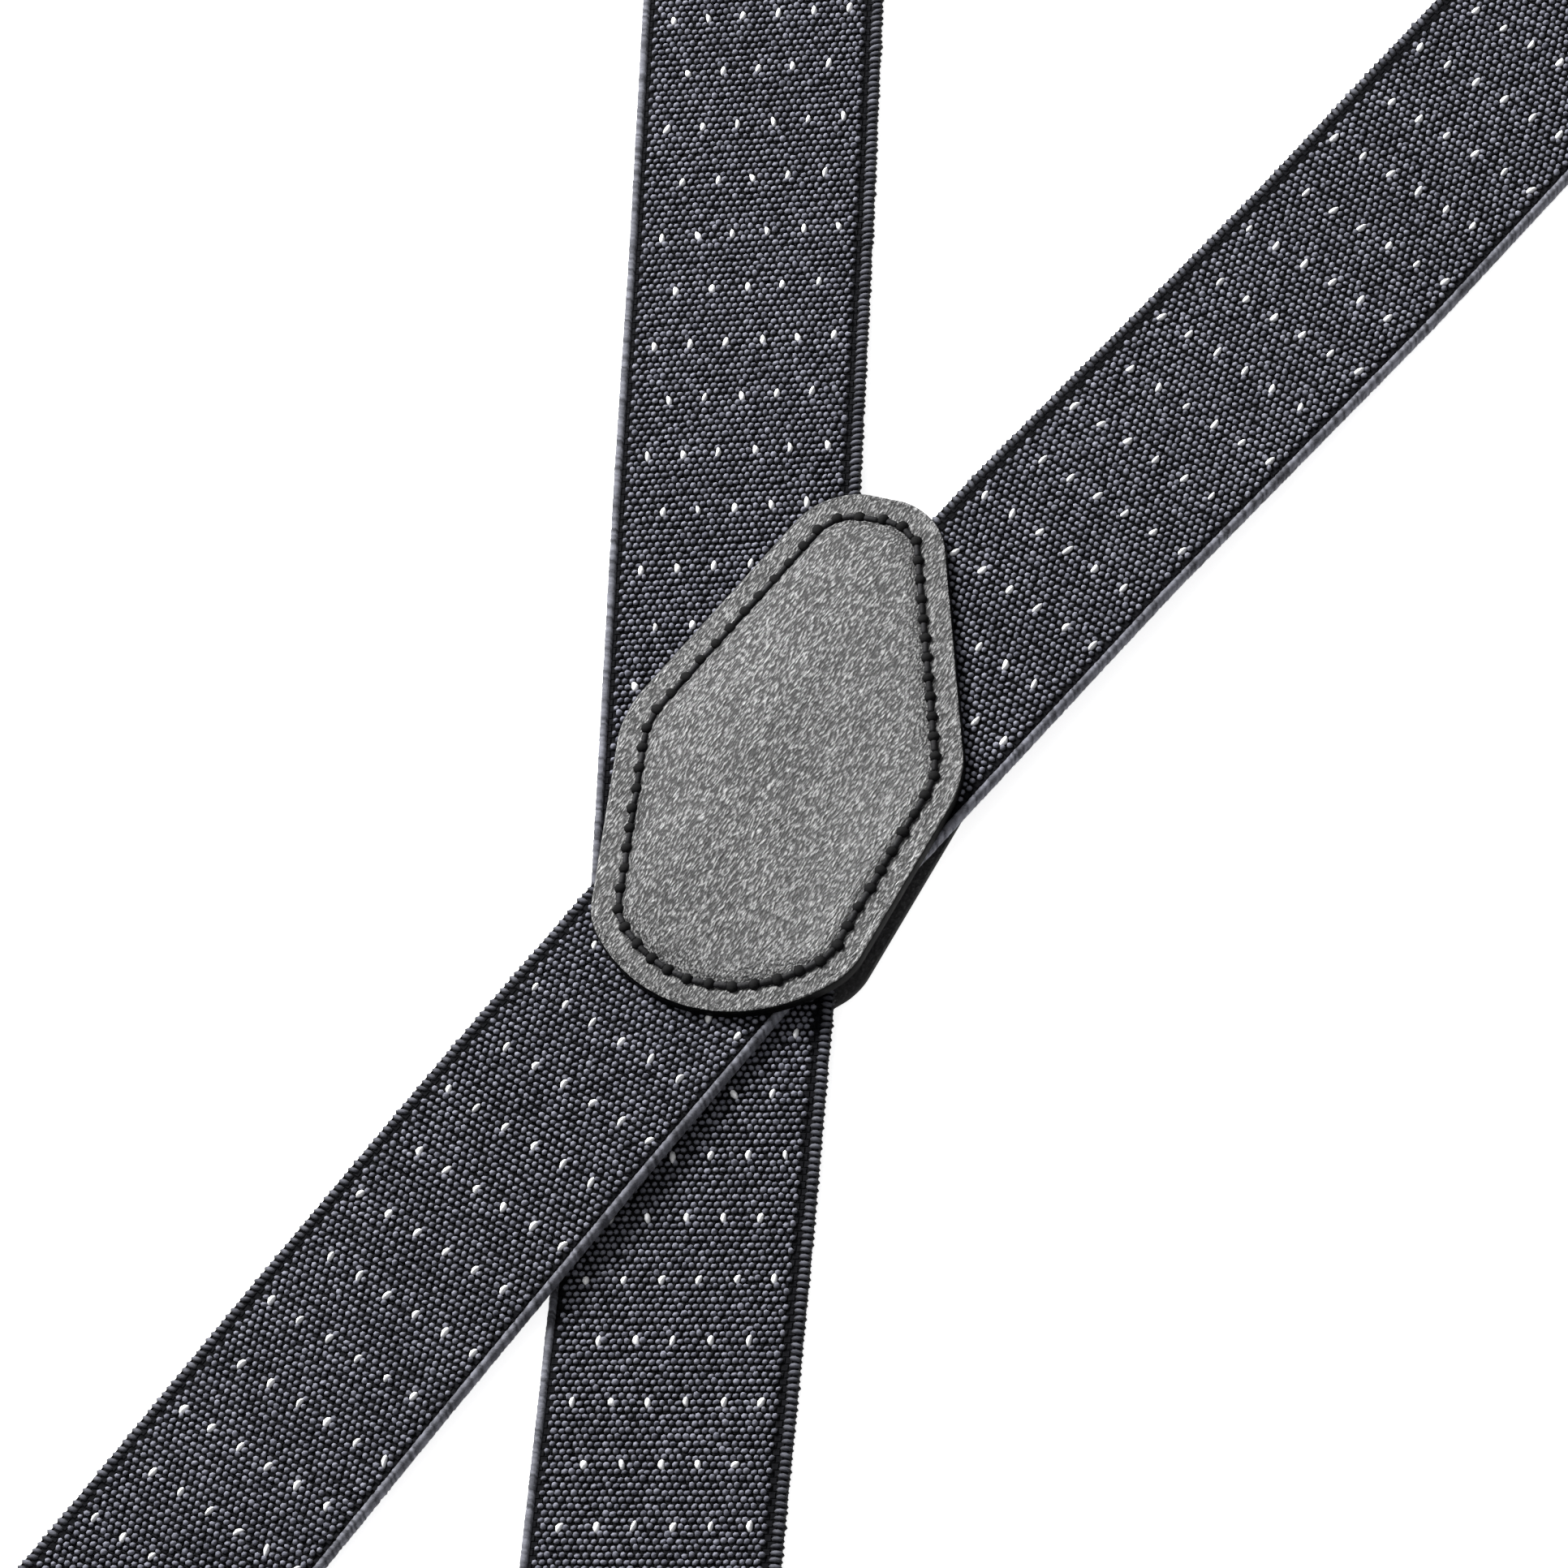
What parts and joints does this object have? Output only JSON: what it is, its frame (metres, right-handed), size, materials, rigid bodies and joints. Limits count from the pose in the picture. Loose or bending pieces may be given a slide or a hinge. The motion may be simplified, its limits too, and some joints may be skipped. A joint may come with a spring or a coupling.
{
  "type": "suspenders",
  "caption": "Elastic cross-back suspenders with a padded leather patch, sliding length adjusters and cam-lever clips on trapezoid rings.",
  "frame": {"origin": "centre of the back patch's flat underside, which rests on the table", "axes": "+Y along the patch towards the shoulder legs, +X to the wearer's right, +Z out of the visible face"},
  "size_m": [0.505, 0.9785, 0.0111],
  "materials": {
    "webbing": "beaded charcoal-navy elastic weave with raised white pin dots",
    "leather": "fine-grained black leather with a soft sheen",
    "thread": "black twisted sewing thread",
    "foam": "dark closed-cell foam",
    "nickel": "polished nickel plate",
    "grip": "black ribbed grip moulding"
  },
  "bodies": {
    "root": {"patch_back_leather": "leather", "patch_bobbin_thread": "thread", "patch_front_leather": "leather", "patch_padding": "foam", "patch_top_thread": "thread", "left_front_strap": "webbing", "left_rear_strap": "webbing", "left_rear_tack_thread": "thread", "right_front_strap": "webbing", "right_rear_strap": "webbing", "right_rear_tack_thread": "thread"},
    "left_front_end": {"left_front_ring_turn": "webbing"},
    "left_adjuster": {"left_adjuster_frame": "nickel", "left_adjuster_pin": "nickel", "left_front_return_strap": "webbing", "left_front_tack_thread": "thread"},
    "left_adjuster_flap": {"left_adjuster_flap": "nickel"},
    "left_front_ring": {"left_front_ring": "nickel"},
    "left_front_clip": {"left_front_clip_base": "nickel", "left_front_clip_pin": "nickel", "left_front_base_pad": "grip"},
    "left_front_lever": {"left_front_clip_lever": "nickel", "left_front_cam_pad": "grip"},
    "left_rear_ring": {"left_rear_ring": "nickel"},
    "left_rear_clip": {"left_rear_clip_base": "nickel", "left_rear_clip_pin": "nickel", "left_rear_base_pad": "grip"},
    "left_rear_lever": {"left_rear_clip_lever": "nickel", "left_rear_cam_pad": "grip"},
    "right_front_end": {"right_front_ring_turn": "webbing"},
    "right_adjuster": {"right_adjuster_frame": "nickel", "right_adjuster_pin": "nickel", "right_front_return_strap": "webbing", "right_front_tack_thread": "thread"},
    "right_adjuster_flap": {"right_adjuster_flap": "nickel"},
    "right_front_ring": {"right_front_ring": "nickel"},
    "right_front_clip": {"right_front_clip_base": "nickel", "right_front_clip_pin": "nickel", "right_front_base_pad": "grip"},
    "right_front_lever": {"right_front_clip_lever": "nickel", "right_front_cam_pad": "grip"},
    "right_rear_ring": {"right_rear_ring": "nickel"},
    "right_rear_clip": {"right_rear_clip_base": "nickel", "right_rear_clip_pin": "nickel", "right_rear_base_pad": "grip"},
    "right_rear_lever": {"right_rear_clip_lever": "nickel", "right_rear_cam_pad": "grip"}
  },
  "joints": [
    {"name": "left_front_length", "type": "slide", "parent": "root", "child": "left_front_end", "axis": [-0.279, 0.9603, 0], "range_m": [-0.08, 0.1], "deforming": ["left_front_strap"]},
    {"name": "left_adjuster_slide", "type": "slide", "parent": "left_front_end", "child": "left_adjuster", "axis": [-0.279, 0.9603, 0], "range_m": [-0.08, 0.1], "deforming": ["left_front_return_strap"]},
    {"name": "left_adjuster_flap_hinge", "type": "hinge", "parent": "left_adjuster", "child": "left_adjuster_flap", "pos_m": [-0.12701, 0.40125, 0.0091], "axis": [0.9603, 0.279, 0], "range_deg": [0, 80]},
    {"name": "left_front_ring_swing", "type": "hinge", "parent": "left_front_end", "child": "left_front_ring", "pos_m": [-0.18713, 0.60819, 0.0034], "axis": [0.9603, 0.279, 0], "range_deg": [-90, 75]},
    {"name": "left_front_clip_swing", "type": "hinge", "parent": "left_front_ring", "child": "left_front_clip", "pos_m": [-0.19076, 0.62068, 0.0034], "axis": [0.9603, 0.279, 0], "range_deg": [-60, 60]},
    {"name": "left_front_clip_lever_hinge", "type": "hinge", "parent": "left_front_clip", "child": "left_front_lever", "pos_m": [-0.19857, 0.64757, 0.0076], "axis": [-0.9603, -0.279, 0], "range_deg": [0, 100]},
    {"name": "left_rear_ring_swing", "type": "hinge", "parent": "root", "child": "left_rear_ring", "pos_m": [0.05451, -0.26889, 0.0034], "axis": [-0.9732, -0.23, 0], "range_deg": [-90, 75]},
    {"name": "left_rear_clip_swing", "type": "hinge", "parent": "left_rear_ring", "child": "left_rear_clip", "pos_m": [0.0575, -0.28155, 0.0034], "axis": [-0.9732, -0.23, 0], "range_deg": [-60, 60]},
    {"name": "left_rear_clip_lever_hinge", "type": "hinge", "parent": "left_rear_clip", "child": "left_rear_lever", "pos_m": [0.06394, -0.3088, 0.0076], "axis": [0.9732, 0.23, 0], "range_deg": [0, 100]},
    {"name": "right_front_length", "type": "slide", "parent": "root", "child": "right_front_end", "axis": [0.4003, 0.9164, 0], "range_m": [-0.08, 0.1], "deforming": ["right_front_strap"]},
    {"name": "right_adjuster_slide", "type": "slide", "parent": "right_front_end", "child": "right_adjuster", "axis": [0.4003, 0.9164, 0], "range_m": [-0.08, 0.1], "deforming": ["right_front_return_strap"]},
    {"name": "right_adjuster_flap_hinge", "type": "hinge", "parent": "right_adjuster", "child": "right_adjuster_flap", "pos_m": [0.17496, 0.38172, 0.0091], "axis": [0.9164, -0.4003, 0], "range_deg": [0, 80]},
    {"name": "right_front_ring_swing", "type": "hinge", "parent": "right_front_end", "child": "right_front_ring", "pos_m": [0.26123, 0.5792, 0.0034], "axis": [0.9164, -0.4003, 0], "range_deg": [-90, 75]},
    {"name": "right_front_clip_swing", "type": "hinge", "parent": "right_front_ring", "child": "right_front_clip", "pos_m": [0.26643, 0.59111, 0.0034], "axis": [0.9164, -0.4003, 0], "range_deg": [-60, 60]},
    {"name": "right_front_clip_lever_hinge", "type": "hinge", "parent": "right_front_clip", "child": "right_front_lever", "pos_m": [0.27764, 0.61677, 0.0076], "axis": [-0.9164, 0.4003, 0], "range_deg": [0, 100]},
    {"name": "right_rear_ring_swing", "type": "hinge", "parent": "root", "child": "right_rear_ring", "pos_m": [-0.09218, -0.25915, 0.0034], "axis": [-0.9342, 0.3567, 0], "range_deg": [-90, 75]},
    {"name": "right_rear_clip_swing", "type": "hinge", "parent": "right_rear_ring", "child": "right_rear_clip", "pos_m": [-0.09682, -0.2713, 0.0034], "axis": [-0.9342, 0.3567, 0], "range_deg": [-60, 60]},
    {"name": "right_rear_clip_lever_hinge", "type": "hinge", "parent": "right_rear_clip", "child": "right_rear_lever", "pos_m": [-0.10681, -0.29745, 0.0076], "axis": [0.9342, -0.3567, 0], "range_deg": [0, 100]}
  ],
  "couplings": [
    {"joint": "left_adjuster_slide", "follows": "left_front_length", "ratio": 1},
    {"joint": "right_adjuster_slide", "follows": "right_front_length", "ratio": 1}
  ]
}
